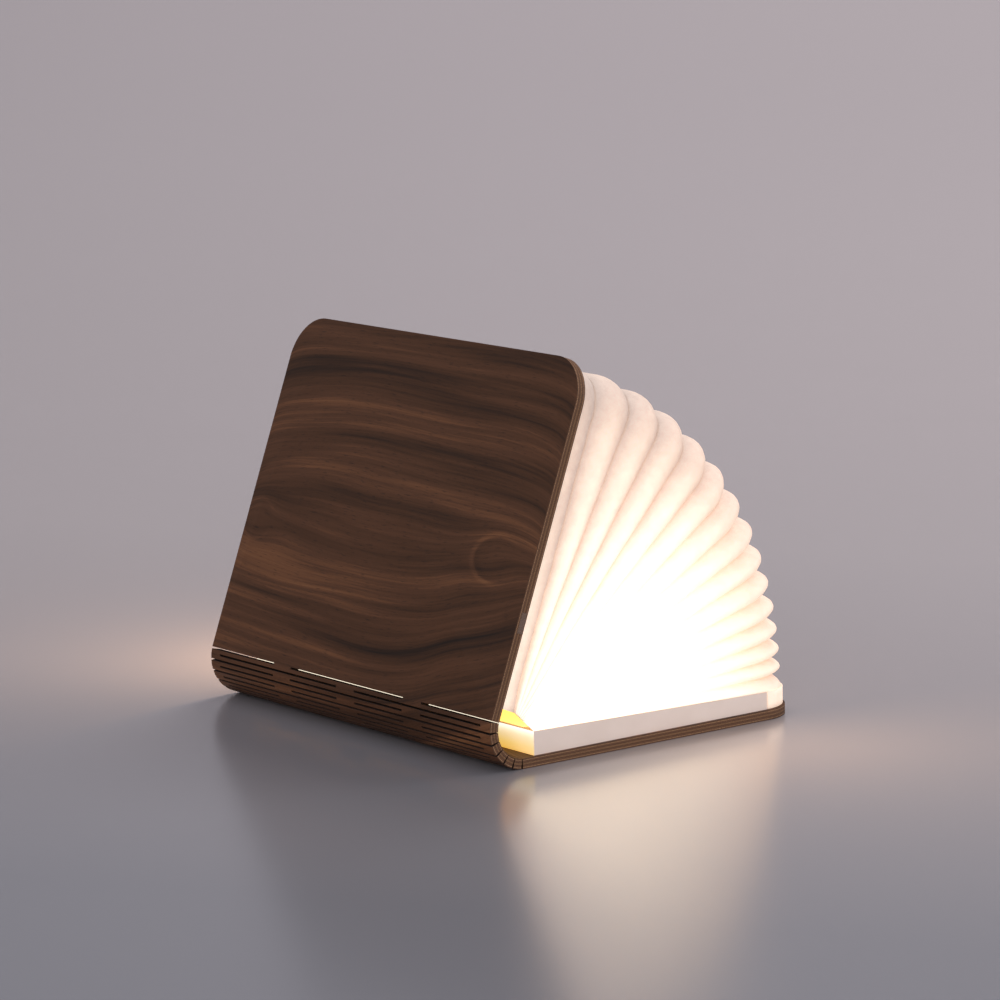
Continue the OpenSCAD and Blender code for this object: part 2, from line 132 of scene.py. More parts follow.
def remember(mesh, name, values):
    """Keeps a value or a vector for each point, under a name that a finish can read."""
    values = np.asarray(values, np.float32)
    kind, key = ("FLOAT_VECTOR", "vector") if values.ndim == 2 else ("FLOAT", "value")
    attribute = mesh.attributes.new(name, kind, "POINT")
    attribute.data.foreach_set(key, values.ravel())


# %% [markdown]
# ## A helper for finishes
# Each finish is a small network of nodes. One function adds any node, sets what it is given
# and links what it is given a socket for. Colours are written as the hex values that a paint
# program shows, and another function turns them into the linear values that light works with.

# %% Helpers for finishes
def linear(code, alpha=1.0):
    """'#rrggbb' as a linear colour."""
    parts = [int(code[i : i + 2], 16) / 255 for i in (1, 3, 5)]
    return [p / 12.92 if p <= 0.04045 else ((p + 0.055) / 1.055) ** 2.4 for p in parts] + [alpha]


def add(tree, kind, inputs=None, stops=(), points=(), **settings):
    """Adds a node; inputs maps a socket's name or number to a value or to another socket.

    A colour ramp is given its (position, hex colour) stops, a curve its (value, height) points.
    """
    made = tree.nodes.new("ShaderNode" + kind)
    for key, value in settings.items():
        setattr(made, key, value)
    for key, value in (inputs or {}).items():
        if isinstance(value, bpy.types.NodeSocket):
            tree.links.new(value, made.inputs[key])
        else:
            made.inputs[key].default_value = value
    if stops:
        band = made.color_ramp.elements
        while len(band) < len(stops):
            band.new(1.0)
        for element, (position, code) in zip(band, stops):
            element.position, element.color = position, linear(code)
    if points:
        curve = made.mapping.curves[0].points
        for value, height in points[1:-1]:
            curve.new(value, height)
        for point, location in zip(curve, points):
            point.location = location
        made.mapping.update()
    return made


def new_finish(name):
    made = bpy.data.materials.new(name)
    made.use_nodes = True
    made.node_tree.nodes.clear()
    return made, made.node_tree


# %% [markdown]
# ## Walnut veneer
# The faces are American walnut veneer, cut flat and oiled. Broad dark and pale bands a few
# millimetres wide run along the spine. They sag a little in the middle of a cover, dip towards
# one end, and part round the stub of a branch like water round a stone. The bands are noise
# drawn out along the grain; two curves and a slow noise shift it sideways, so it bends.

# %% How the grain runs
# the bands sag in the middle high on the upper cover, and dip towards one end from there to
# the spine and beyond: (share of the board's length, height), and how far they go in metres
SAG, SAG_DEPTH = [(0, 1), (0.5, 0), (1, 1)], -0.007
DIP, DIP_DEPTH = [(0, 0), (0.16, 0.42), (0.42, 0.93), (0.66, 1), (1, 0.86)], -0.026
DIP_STARTS, DIP_FULL = -0.118, -0.078
# the stubs of branches: place in metres, length along the grain and width across it in mm
STUBS = (((-0.0985, -0.0830, 0), 38, 23), ((-0.0935, 0.0985, 0), 26, 20))
STUB_PULL = -0.85


def bands(tree, place, across_mm, along_mm):
    """Noise drawn out along the grain, to bands of this width and length."""
    size = (1000 / across_mm, 1000 / along_mm, 1000 / across_mm)
    drawn_out = add(tree, "Mapping", {0: place, 3: size}).outputs[0]
    return add(tree, "TexNoise", {0: drawn_out, "Scale": 1, "Detail": 1}).outputs[0]


def round_stub(tree, sheet, place, stub, length_mm, width_mm):
    """Grain parted round a stub, and how far out a point is, where 1 is the stub's rim."""
    away = add(tree, "VectorMath", {0: sheet, 1: stub}, operation="SUBTRACT").outputs[0]
    size = (2000 / width_mm, 2000 / length_mm, 0)
    flat = add(tree, "VectorMath", {0: away, 1: size}, operation="MULTIPLY").outputs[0]
    share = add(tree, "VectorMath", {0: flat}, operation="LENGTH").outputs["Value"]
    # the pull dies away as a bell curve does, by e to the power of the distance squared
    squared = add(tree, "Math", {0: share, 1: 2.0}, operation="POWER").outputs[0]
    fall = add(tree, "Math", {0: 2.718, 1: squared}, operation="POWER").outputs[0]
    pull = add(tree, "Math", {0: STUB_PULL, 1: fall}, operation="DIVIDE").outputs[0]
    across = add(tree, "VectorMath", {0: away, 1: (1, 0.1, 0)}, operation="MULTIPLY").outputs[0]
    shift = add(tree, "VectorMath", {0: across, "Scale": pull}, operation="SCALE").outputs[0]
    parted = add(tree, "VectorMath", {0: place, 1: shift}, operation="ADD").outputs[0]
    return parted, share, away


def grain_bend(tree, sheet):
    """How far the bands lie from a straight line, in metres across the grain."""
    parts = add(tree, "SeparateXYZ", {0: sheet}).outputs
    end = CASE_LEN / 2 * MM
    along = add(tree, "MapRange", {0: parts[1], 1: -end, 2: end}).outputs[0]
    bends = []
    for points, depth in ((SAG, SAG_DEPTH), (DIP, DIP_DEPTH)):
        height = add(tree, "FloatCurve", {1: along}, points=points).outputs[0]
        fall = add(tree, "Math", {0: 1.0, 1: height}, operation="SUBTRACT").outputs[0]
        bends.append(add(tree, "Math", {0: fall, 1: depth}, operation="MULTIPLY").outputs[0])
    lower = add(
        tree, "MapRange", {0: parts[0], 1: DIP_STARTS, 2: DIP_FULL},
        interpolation_type="SMOOTHSTEP",
    ).outputs[0]
    return add(tree, "Mix", {"Factor": lower, 2: bends[0], 3: bends[1]}).outputs[0]


# %% Walnut veneer
# bands as (width in mm, length in mm, how much they count), from broad to fine
GRAIN = ((30, 420, 0.75), (8.5, 200, 0.62), (3.0, 120, 0.42), (1.1, 60, 0.24), (0.5, 26, 0.12))
GRAIN_LOW, GRAIN_HIGH = 0.74, 1.42
SWAY, SWAY_WIDE, SWAY_LONG = 0.015, 55, 170
PORE_WIDE, PORE_LONG = 0.5, 6
# shade from a stub's middle to twice its radius: bark, then a pale rim
STUB_RIM = [(0, 0.5), (0.30, 0.42), (0.40, 0.28), (0.47, 0.95), (0.56, 0.55), (1, 0.5)]
RIM_CONTRAST, RIM_STARTS, RIM_FULL = 0.26, -0.014, 0.004


def walnut(name, shades, gloss):
    made, tree = new_finish(name)
    sheet = add(tree, "Attribute", attribute_name="sheet").outputs["Vector"]
    place, rims = sheet, []
    for stub, length_mm, width_mm in STUBS:
        place, share, away = round_stub(tree, sheet, place, stub, length_mm, width_mm)
        rims.append((share, away))
    slow = bands(tree, place, SWAY_WIDE, SWAY_LONG)
    slow = add(tree, "Math", {0: slow, 1: 0.5}, operation="SUBTRACT").outputs[0]
    sway = add(tree, "Math", {0: slow, 1: SWAY}, operation="MULTIPLY").outputs[0]
    curve = grain_bend(tree, sheet)
    bend = add(tree, "Math", {0: sway, 1: curve}, operation="SUBTRACT").outputs[0]
    bend = add(tree, "CombineXYZ", {0: bend}).outputs[0]
    place = add(tree, "VectorMath", {0: place, 1: bend}, operation="ADD").outputs[0]
    mixed = 0.0
    for across_mm, along_mm, weight in GRAIN:
        layer = bands(tree, place, across_mm, along_mm)
        mixed = add(
            tree, "Math", {0: layer, 1: weight, 2: mixed}, operation="MULTIPLY_ADD"
        ).outputs[0]
    # a pale rim round the spine's side of each stub, and bark just inside it
    for share, away in rims:
        side = add(tree, "SeparateXYZ", {0: away}).outputs[1]
        open_end = add(
            tree, "MapRange", {0: side, 1: RIM_STARTS, 2: RIM_FULL},
            interpolation_type="SMOOTHSTEP",
        ).outputs[0]
        out = add(tree, "MapRange", {0: share, 1: 0, 2: 2}).outputs[0]
        rim = add(tree, "FloatCurve", {1: out}, points=STUB_RIM).outputs[0]
        rim = add(tree, "Math", {0: rim, 1: 0.5}, operation="SUBTRACT").outputs[0]
        change = add(tree, "Math", {0: rim, 1: RIM_CONTRAST}, operation="MULTIPLY").outputs[0]
        mixed = add(
            tree, "Math", {0: change, 1: open_end, 2: mixed}, operation="MULTIPLY_ADD"
        ).outputs[0]
    shade = add(tree, "MapRange", {0: mixed, 1: GRAIN_LOW, 2: GRAIN_HIGH}).outputs[0]
    stops = [(n / (len(shades) - 1), code) for n, code in enumerate(shades)]
    colour = add(tree, "ValToRGB", {0: shade}, stops=stops).outputs[0]
    pores = bands(tree, place, PORE_WIDE, PORE_LONG)
    pored = add(tree, "MapRange", {0: pores, 1: 0.60, 2: 0.76, 4: 0.6}).outputs[0]
    colour = add(
        tree, "Mix", {"Factor": pored, 6: colour, 7: linear(shades[0])}, data_type="RGBA"
    ).outputs[2]
    bump = add(
        tree, "Bump", {"Height": pored, "Strength": 0.25, "Distance": 0.0001}, invert=True
    ).outputs[0]
    rough = add(tree, "MapRange", {0: shade, 3: gloss + 0.07, 4: gloss - 0.05}).outputs[0]
    wood = add(tree, "BsdfPrincipled", {
        "Base Color": colour, "Roughness": rough, "Normal": bump,
        "IOR": 1.5, "Specular IOR Level": 0.25,
    })
    add(tree, "OutputMaterial", {0: wood.outputs[0]})
    return made


veneer = walnut(
    "walnut_veneer_oiled",
    ("#22150c", "#382212", "#4c2f1a", "#593822", "#734a2d", "#865b39"), 0.55,
)


# %% [markdown]
# ## The board's edge
# The edge shows how the board is made: a thin veneer on each side of a stack of plies, with
# dark lines of glue between them. Where the laser cut the slits, the wood is charred brown.
# The ply that a point belongs to follows from its height in the flat board alone.

# %% Plywood edge and charred cuts
def ply_edge(name, plies, roughness):
    """Plies as (height share, colour), from the outer face to the inner one."""
    made, tree = new_finish(name)
    sheet = add(tree, "Attribute", attribute_name="sheet").outputs["Vector"]
    height = add(tree, "SeparateXYZ", {0: sheet}).outputs[2]
    share = add(tree, "Math", {0: height, 1: PLY * MM}, operation="DIVIDE").outputs[0]
    uneven = add(tree, "TexNoise", {0: sheet, "Scale": 260, "Detail": 2}).outputs[0]
    waved = add(
        tree, "Math", {0: uneven, 1: 0.03, 2: share}, operation="MULTIPLY_ADD"
    ).outputs[0]
    layers = add(tree, "ValToRGB", {0: waved}, stops=plies)
    layers.color_ramp.interpolation = "CONSTANT"
    grain = add(tree, "TexNoise", {0: sheet, "Scale": 2400, "Detail": 3}).outputs[0]
    dots = add(tree, "ValToRGB", {0: grain}, stops=[(0.35, "#8a8a8a"), (0.65, "#ffffff")])
    colour = add(
        tree, "Mix", {"Factor": 0.8, 6: layers.outputs[0], 7: dots.outputs[0]},
        data_type="RGBA", blend_type="MULTIPLY",
    ).outputs[2]
    bump = add(tree, "Bump", {"Height": grain, "Strength": 0.3, "Distance": 0.0001}).outputs[0]
    wood = add(tree, "BsdfPrincipled", {
        "Base Color": colour, "Roughness": roughness, "Normal": bump, "IOR": 1.5,
    })
    add(tree, "OutputMaterial", {0: wood.outputs[0]})
    return made


edge = ply_edge(
    "walnut_plywood_edge_sanded",
    [(0.0, "#6e4c36"), (0.13, "#c29a72"), (0.19, "#7d583f"), (0.38, "#43291b"), (0.42, "#96704f"),
     (0.62, "#43291b"), (0.66, "#7d583f"), (0.84, "#c29a72"), (0.90, "#6e4c36")],
    0.62,
)
charred = ply_edge(
    "walnut_plywood_laser_charred",
    [(0.0, "#3c2a22"), (0.14, "#4c382d"), (0.18, "#2b1d16"), (0.42, "#20150f"), (0.46, "#33231b"),
     (0.66, "#20150f"), (0.70, "#2b1d16"), (0.86, "#4c382d"), (0.90, "#3c2a22")],
    0.8,
)

# %% [markdown]
# ## Dressing the board
# The covers and slats are the frame's own meshes. Each face is given the finish of its side:
# veneer on the two broad faces, plies round the outside, char in the slits. A live Weld closes
# the loose triangles and a live Bevel sands the corners, because a real edge is never sharp.


# %% Dress the covers and the slats
def finish_with(piece, *finishes):
    piece.data.materials.clear()
    for finish in finishes:
        piece.data.materials.append(finish)


def soften(piece, width_mm, segments=2):
    weld = piece.modifiers.new("close the triangles", "WELD")
    weld.merge_threshold = 0.00001
    round_off = piece.modifiers.new("sanded corners", "BEVEL")
    round_off.width, round_off.segments = width_mm * MM, segments
    round_off.limit_method, round_off.angle_limit = "ANGLE", math.radians(35)
    round_off.use_clamp_overlap = True
    # the broad flat faces keep their own normals
    round_off.harden_normals = True


def dress_board(piece, j, width_mm):
    mesh = piece.data
    flat = to_flat(places(mesh), j)
    remember(mesh, "sheet", flat * MM)
    finish_with(piece, veneer, edge, charred)
    back = turned(j * REST_TURN)
    for face in mesh.polygons:
        normal = np.array(face.normal) @ back
        across = np.mean([flat[v][0] for v in face.vertices])
        in_spine = -ROWS * PITCH - 1 < across < 1
        if abs(normal[2]) > 0.7:
            face.material_index = 0
        elif in_spine and abs(normal[0]) > 0.7:
            face.material_index = 2
        else:
            face.material_index = 1
    soften(piece, width_mm)


SLAT_CORNER, COVER_CORNER = 0.12, 0.35
SLATS = [f"spine_slat_{j:02d}" for j in range(1, ROWS)]
for j, name in enumerate(["base_cover"] + SLATS + ["upper_cover"]):
    dress_board(nodes[name], j, SLAT_CORNER if "slat" in name else COVER_CORNER)
print("board dressed")

# %% [markdown]
# ## The bridges
# Each row of slits is interrupted by short bridges of wood that hold the slats together, and
# they twist as the spine bends. The frame has them as stiff stubs at mid-board; here each row
# gets full-height bridges, cut into narrow strips across the slit and bent slat to slat.

# %% Bridges between the slats
BRIDGE, ODD_AT, END_BRIDGE = 13.5, 50.0, 7.0
# a bridge reaches this far into each slat, and lies this far under each face
OVERLAP, SUNK, STRIPS = 0.05, 0.03, 6


def bridge_spans(row):
    if row % 2 == 1:
        return [(side * ODD_AT - BRIDGE / 2, side * ODD_AT + BRIDGE / 2) for side in (-1, 1)]
    end = CASE_LEN / 2
    return [(-BRIDGE / 2, BRIDGE / 2), (-end, -end + END_BRIDGE), (end - END_BRIDGE, end)]


def bent_over(points, row, share):
    """Flat points near a row of slits, each past the row by its share."""
    before = from_flat(points, row - 1)
    turn = share * REST_TURN
    pivot = PIVOTS[row - 1]
    out = np.empty_like(points)
    for i, part in enumerate(turn):
        out[i] = (before[i] - pivot) @ turned(part).T + pivot
    return out


def bridge_row(row):
    made = []
    low = -(row - 0.5) * PITCH - SLIT / 2 - OVERLAP
    for start, end in bridge_spans(row):
        bpy.ops.mesh.primitive_cube_add(size=1)
        block = bpy.context.object
        bpy.ops.object.mode_set(mode="EDIT")
        for step in range(1, STRIPS):
            bpy.ops.mesh.select_all(action="SELECT")
            bpy.ops.mesh.bisect(plane_co=(step / STRIPS - 0.5, 0, 0), plane_no=(1, 0, 0))
        bpy.ops.object.mode_set(mode="OBJECT")
        co = np.array([v.co for v in block.data.vertices])
        flat = np.column_stack([
            low + (co[:, 0] + 0.5) * (SLIT + 2 * OVERLAP),
            start + (co[:, 1] + 0.5) * (end - start),
            SUNK + (co[:, 2] + 0.5) * (PLY - 2 * SUNK),
        ])
        share = 0.5 - co[:, 0]
        remember(block.data, "sheet", flat * MM)
        remember(block.data, "share", share)
        put_places(block.data, bent_over(flat, row, share))
        made.append(block)
    for block in made:
        block.select_set(True)
    bpy.context.view_layer.objects.active = made[0]
    bpy.ops.object.join()
    piece = bpy.context.object
    piece.name = piece.data.name = f"spine_bridges_{row:02d}"
    bpy.ops.object.select_all(action="DESELECT")
    finish_with(piece, veneer, charred, edge)
    flat = np.zeros(len(piece.data.vertices) * 3, np.float32)
    piece.data.attributes["sheet"].data.foreach_get("vector", flat)
    flat = flat.reshape(-1, 3) / MM
    for face in piece.data.polygons:
        corners = flat[list(face.vertices)]
        at_end = np.abs(corners[:, 1]).min() > CASE_LEN / 2 - 0.1
        face.material_index = 0 if np.ptp(corners[:, 2]) < 0.5 else 2 if at_end else 1
    share = np.zeros(len(piece.data.vertices), np.float32)
    piece.data.attributes["share"].data.foreach_get("value", share)
    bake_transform(piece, BODIES[row - 1], BODIES[row], start=(0, 0, 0), end=(0, 0, 1))
    piece.data.attributes["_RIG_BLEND"].data.foreach_set("value", share)


for row in range(1, ROWS + 1):
    bridge_row(row)
print("bridges made")

# %% [markdown]
# ## Lit paper
# The pages are spun-bonded sheet, a felt of fine plastic fibres pressed flat. It lets light
# through and spreads it, and its fibres show as a cloudy mottle some millimetres across. The
# sheet carries a painted glow of its own, strongest over the strip of lights and weakest at the
# tips far from it, next to real translucency, so that it also answers to the lights round it.
# Its inner side carries a painted glow of a deeper yellow, for the amber light inside the folds,
# which shows where one looks in past the spine.

# %% Spun-bonded paper
def lit_paper(name, warmth, strength, through_share):
    """Paper with its glow's hues from weak to strong, and how much light comes through it."""
    made, tree = new_finish(name)
    place = add(tree, "Attribute", attribute_name="sheet").outputs["Vector"]
    glow = add(tree, "Attribute", attribute_name="glow").outputs["Fac"]
    cloud = add(tree, "TexNoise", {0: place, "Scale": 240, "Detail": 5, "Roughness": 0.65})
    fibre = add(tree, "TexNoise", {0: place, "Scale": 1500, "Detail": 2, "Distortion": 1.5})
    mottle = add(tree, "Mix", {"Factor": 0.4, 2: cloud.outputs[0], 3: fibre.outputs[0]})
    mottle = mottle.outputs[0]
    tint = add(tree, "ValToRGB", {0: mottle}, stops=[(0.35, "#dcd3cb"), (0.62, "#e9e2da")])
    tint = tint.outputs[0]
    bump = add(tree, "Bump", {"Height": mottle, "Strength": 0.25, "Distance": 0.0002})
    body = add(tree, "BsdfDiffuse", {"Color": tint, "Normal": bump.outputs[0]})
    through = add(tree, "BsdfTranslucent", {"Color": tint, "Normal": bump.outputs[0]})
    felt = add(
        tree, "MixShader", {0: through_share, 1: body.outputs[0], 2: through.outputs[0]}
    )
    warm = add(tree, "ValToRGB", {0: glow}, stops=warmth).outputs[0]
    power = add(
        tree, "MapRange", {0: mottle, 1: 0.3, 2: 0.7, 3: 0.94 * strength, 4: 1.05 * strength}
    ).outputs[0]
    power = add(tree, "Math", {0: power, 1: glow}, operation="MULTIPLY").outputs[0]
    light = add(tree, "Emission", {0: warm, 1: power})
    both = add(tree, "AddShader", {0: felt.outputs[0], 1: light.outputs[0]})
    add(tree, "OutputMaterial", {0: both.outputs[0]})
    return made


paper = lit_paper(
    "spun_bonded_paper_pleated",
    [(0.15, "#f3cab4"), (0.35, "#fdd9c2"), (0.5, "#ffe6d0"), (0.7, "#fff0de"), (1.0, "#fff1da")],
    1.0, 0.2,
)
# painted amber glow on the sheet's inner side, standing in for the light inside the folds
paper_inner_painted_glow = lit_paper(
    "spun_bonded_paper_inside", [(0.2, "#ffae4e"), (0.9, "#ffbf62")], 0.6, 0.0
)

# %% [markdown]
# ## The folds
# Fourteen fold lines fan out from the spine. Between two of them the sheet comes out to a
# rounded crest and goes back in to a sharp valley, all the way round the three open sides of
# the book. One function says where a point of the sheet is: `along` counts pleats from the
# block up to the cover, and `round_u` runs round the book from the near end to the far one.

# %% Where the folds lie
PLEATS = 13
ROOT_LOW, ROOT_HIGH = np.array([6.5, 16.1]), np.array([-2.9, 24.8])
FAN = (ROOT_LOW + ROOT_HIGH) / 2
BLOCK_X, BLOCK_FAR, BLOCK_TOP, BLOCK_SLOPE = 6.5, 158.5, 15.4, 3.2 / 152
HALF, CORNER, DEEP, ROOT_DEEP = 106.0, 18.5, 34.0, 1.5
REACH = 155.5
FIRST_FOLD, FIRST_PLEAT, PLEAT_GROWTH = -0.8, 2.9, 0.44
# room for glue, and the stretch of the upper cover that the paper is glued to
GLUE, GLUED_FROM, GLUED_TO = 0.15, 5.3, 158.0


def block_top(x):
    return BLOCK_TOP - BLOCK_SLOPE * (x - BLOCK_X)


def fold_line(k):
    """Fold k from its root to its tip, as (x, z) points."""
    root = ROOT_LOW + (ROOT_HIGH - ROOT_LOW) * k / PLEATS
    angle = math.radians(FIRST_FOLD + FIRST_PLEAT * k + PLEAT_GROWTH * k * (k - 1) / 2)
    return root, FAN + REACH * np.array([math.cos(angle), math.sin(angle)])


def cover_line():
    """Where the top half pleat is glued to the upper cover."""
    start = np.array([-ROWS * PITCH, 0, PLY + GLUE])
    ends = [from_flat(start - (run, 0, 0), ROWS) for run in (GLUED_FROM, GLUED_TO)]
    return [e[[0, 2]] for e in ends]


def glued_line():
    """Where the bottom half pleat is glued to the block."""
    return [np.array([x, block_top(x) + GLUE]) for x in (BLOCK_X, BLOCK_FAR)]


LINES = [glued_line()] + [fold_line(k) for k in range(PLEATS + 1)] + [cover_line()]


def u_line(reach, half, corner, drift):
    """Points round the book in plan, from the near root to the far one."""
    # a power just above 1 sets the stations a little closer together at the root
    steps = np.linspace(0, 1, 27)[:-1] ** 1.15
    side = [((reach - corner) * s, -half - drift * (1 - s)) for s in steps]
    turn = [
        (reach - corner + corner * math.cos(a), -half + corner + corner * math.sin(a))
        for a in np.linspace(-math.pi / 2, 0, 13)
    ]
    front = [(reach, y) for y in np.linspace(-half + corner, 0, 8)[1:]]
    near = side + turn + front
    return np.array(near + [(x, -y) for x, y in near[-2::-1]])


CREST = u_line(REACH, HALF, CORNER, 0)
VALLEY = u_line(REACH - DEEP, HALF - DEEP, CORNER / 2, DEEP - ROOT_DEEP)
STATIONS = len(CREST)


# %% [markdown]
# ## One pleat's section
# Across a pleat the crest is a rounded arch, and two nearly straight walls run from it to
# the valleys. The rows are close together on the crest, where the sheet turns, and far
# apart on the walls. A half pleat at each end is the same section, cut at its crest.

# %% Rows across the pleats
CREST_SHARE, CREST_POINT = 0.92, 1.35
# how deep the notch between two tips is, in mm, by the pleat's number
NOTCH_AT, NOTCH = (0, 3, 7, 10, 14), (4.0, 7.5, 7.0, 4.6, 2.6)


def section():
    """(share of half the width, share of the depth, rounding) from valley to valley."""
    wall = [(-1 + (1 - CREST_SHARE) * s, 1 - s, 1) for s in (0, 0.25, 0.5, 0.75)]
    cap = [
        (CREST_SHARE * math.sin(a), 0, math.sin(a) ** 2)
        for a in np.radians([-90, -78, -64, -48, -30, -12, 0, 12, 30, 48, 64, 78, 90])
    ]
    return wall + cap + [(-t, d, r) for t, d, r in wall[::-1]]


SECTION = section()


def fold_rows():
    """Rows as (lower line, share between lines, depth share, rounding, share of the width)."""
    rows = []
    middle = len(SECTION) // 2
    for k in range(len(LINES) - 1):
        if k == 0:
            part = SECTION[middle:]
            shares = [t for t, _, _ in part]
        elif k == len(LINES) - 2:
            part = SECTION[: middle + 1]
            shares = [t + 1 for t, _, _ in part]
        else:
            part = SECTION
            shares = [(t + 1) / 2 for t, _, _ in part]
        half = 1.0 if k in (0, len(LINES) - 2) else 0.5
        for n, ((_, d, r), share) in enumerate(zip(part, shares)):
            if k and n == 0:
                continue
            rows.append((k, share, d, r, half))
    return rows


FOLD_ROWS = fold_rows()


def sheet_point(row, i):
    k, share, deep, rounding, half = row
    low, high = LINES[k], LINES[k + 1]
    out, back = CREST[i], VALLEY[i]
    reached = out[0] / REACH
    at_root, at_tip = (np.linalg.norm(high[end] - low[end]) for end in (0, 1))
    width = at_root * (1 - reached) + at_tip * reached
    depth = np.linalg.norm(back - out)
    # narrow pleats come to a long rounded tip, the wide ones near the cover to a blunt one
    notch = min(float(np.interp(k, NOTCH_AT, NOTCH)), CREST_POINT * width * half, 0.5 * depth)
    inset = notch * rounding + deep * (depth - notch)
    p = out + (back - out) * inset / depth
    root = low[0] + (high[0] - low[0]) * share
    tip = low[1] + (high[1] - low[1]) * share
    at = root + (tip - root) * p[0] / REACH
    return np.array([at[0], p[1], at[1]])


# %% [markdown]
# ## The sheet
# The sheet starts as a flat grid with one row for each row of the section and one column for
# each station round the book, and every grid point is folded to its place. Real paper is
# never quite even, so slow noise buckles the walls by a few tenths of a millimetre. Each point
# also remembers where it lay at rest, for the fibres, and how brightly it glows.

# %% Fold the sheet
bpy.ops.mesh.primitive_grid_add(
    x_subdivisions=STATIONS - 1, y_subdivisions=len(FOLD_ROWS) - 1, size=1
)
sheet = bpy.context.object
sheet.name = "pages"
grid = np.array([v.co for v in sheet.data.vertices])
column = np.rint((grid[:, 0] + 0.5) * (STATIONS - 1)).astype(int)
line = np.rint((grid[:, 1] + 0.5) * (len(FOLD_ROWS) - 1)).astype(int)
folded = np.array([sheet_point(FOLD_ROWS[n], i) for n, i in zip(line, column)])
print("sheet:", STATIONS, "stations,", len(FOLD_ROWS), "rows")


def buckled(points):
    out = points.copy()
    for i, p in enumerate(points):
        reach = min(1.0, math.hypot(p[0] - FAN[0], p[2] - FAN[1]) / 60)
        wave = noise.noise(Vector((p[0] / 26, p[1] / 15, p[2] / 15)))
        crease = noise.noise(Vector((p[0] / 9 + 7, p[1] / 7, p[2] / 7)))
        out[i, 1] += reach * (0.35 * wave + 0.12 * crease) * (-1 if p[1] < 0 else 1)
        out[i, 0] += reach * 0.15 * crease
    return out


put_places(sheet.data, buckled(folded))
remember(sheet.data, "sheet", folded * MM)

# %% [markdown]
# ## How the sheet glows
# The strip of lights lies along the spine's side of the block, so the sheet is brightest near
# it and low down, and it fades towards the upper cover and the tips. The broad face of each
# crest is bright, while its shoulders and the valley beside it are darker, most of all higher
# up, and that is what lets the eye tell one pleat from the next.

# %% Glow of each point
STRIP_X, STRIP_Z = 14, 16
FAN_TOP = 72
# brightness by the distance from the strip in mm
FADE_AT, FADE = [0, 45, 85, 115, 138, 152, 175], [1.35, 1.3, 1.05, 0.70, 0.44, 0.26, 0.20]
LAST_HALF_GLOW = 0.72

from_strip = np.hypot(folded[:, 0] - STRIP_X, folded[:, 2] - STRIP_Z)
height = np.arctan2(folded[:, 2] - FAN[1], folded[:, 0] - FAN[0]) / math.radians(FAN_TOP)
glow = np.interp(from_strip, FADE_AT, FADE)
# painted shade: the glow is lowered higher up the fan, towards the upper cover
upper = np.interp(height, [0, 0.55, 0.8, 1.0], [0, 0.05, 0.26, 0.38])
glow = glow * (1 - upper * np.clip((140 - from_strip) / 45, 0.15, 1))
# painted shade: the half pleat glued to the upper cover glows less
last_half = np.array([FOLD_ROWS[n][0] == len(LINES) - 2 for n in line])
glow = np.where(last_half, LAST_HALF_GLOW * glow, glow)
# painted shade on each crest's shoulders and in the valleys, deeper higher up
shoulder = np.array([FOLD_ROWS[n][3] for n in line])
glow = glow * (1 - np.interp(height, [0.3, 0.75], [0.36, 0.54]) * shoulder)
remember(sheet.data, "glow", glow)
print("glow from", round(float(glow.min()), 2), "to", round(float(glow.max()), 2))

# %% [markdown]
# ## Paper has two sides
# A Solidify modifier gives the sheet its thickness, here a fifth of a millimetre, towards the
# inside. The normals are recalculated first, so that the thickness goes the right way.

# %% Give the sheet its thickness
bpy.ops.object.mode_set(mode="EDIT")
bpy.ops.mesh.select_all(action="SELECT")
bpy.ops.mesh.remove_doubles(threshold=0.000001)
bpy.ops.object.mode_set(mode="OBJECT")
outward = sum(f.normal.y for f in sheet.data.polygons if f.center.y < -0.09)
if outward > 0:
    sheet.data.flip_normals()
bpy.ops.object.shade_smooth()
finish_with(sheet, paper, paper_inner_painted_glow)
thick = sheet.modifiers.new("paper thickness", "SOLIDIFY")
thick.thickness, thick.offset, thick.material_offset = 0.2 * MM, -1, 1
bpy.ops.object.modifier_apply(modifier=thick.name)
print("sheet has", len(sheet.data.polygons), "faces")

# %% [markdown]
# ## Cutting the sheet for its motion
# The fan is soft: between two neighbouring slats it has to turn a little, and a piece can bend
# between two bodies only. So the sheet is cut into thirteen sectors by the planes that the
# slats would carry in a closed book, evenly spaced between the block and the cover, and each
# sector turns from one slat's motion to the next one's. The cuts never open, because both
# sides of a cut follow the same slat, and the shading is carried over from the uncut sheet.

# %% Planes carried by the slats
CLOSE_TURN = OPEN_ANGLE / ROWS
# how far above twice the first hinge's height the closed book's last plane lies
LAST_PLANE = 15.3
BLOCK_FALL = math.degrees(math.atan(BLOCK_SLOPE))


def closed_place(m):
    """Matrix that takes body m from rest to the closed book, in millimetres in the (x, z) plane."""
    total = np.eye(4)
    for pivot in PIVOTS[:m]:
        move = np.eye(4)
        move[:3, :3] = turned(CLOSE_TURN)
        move[:3, 3] = pivot - turned(CLOSE_TURN) @ pivot
        total = total @ move
    return total


def sector_plane(m):
    """A point and the upward normal of the plane that body m carries, at rest."""
    fall = -BLOCK_FALL * (1 - m / ROWS)
    last_z = 2 * PIVOTS[0][2] + LAST_PLANE
    z = BLOCK_TOP + (last_z - BLOCK_TOP) * m / ROWS
    back = np.linalg.inv(closed_place(m))
    point = back[:3, :3] @ np.array([BLOCK_X, 0, z]) + back[:3, 3]
    tilt = math.radians(fall)
    normal = back[:3, :3] @ np.array([-math.sin(tilt), 0, math.cos(tilt)])
    return point, normal


PLANES = [sector_plane(m) for m in range(ROWS + 1)]
for m, (point, normal) in enumerate(PLANES):
    angle = math.degrees(math.atan2(-normal[0], normal[2]))
    print("plane", m, "at", [round(float(v), 1) for v in point], "angle", round(angle, 2))


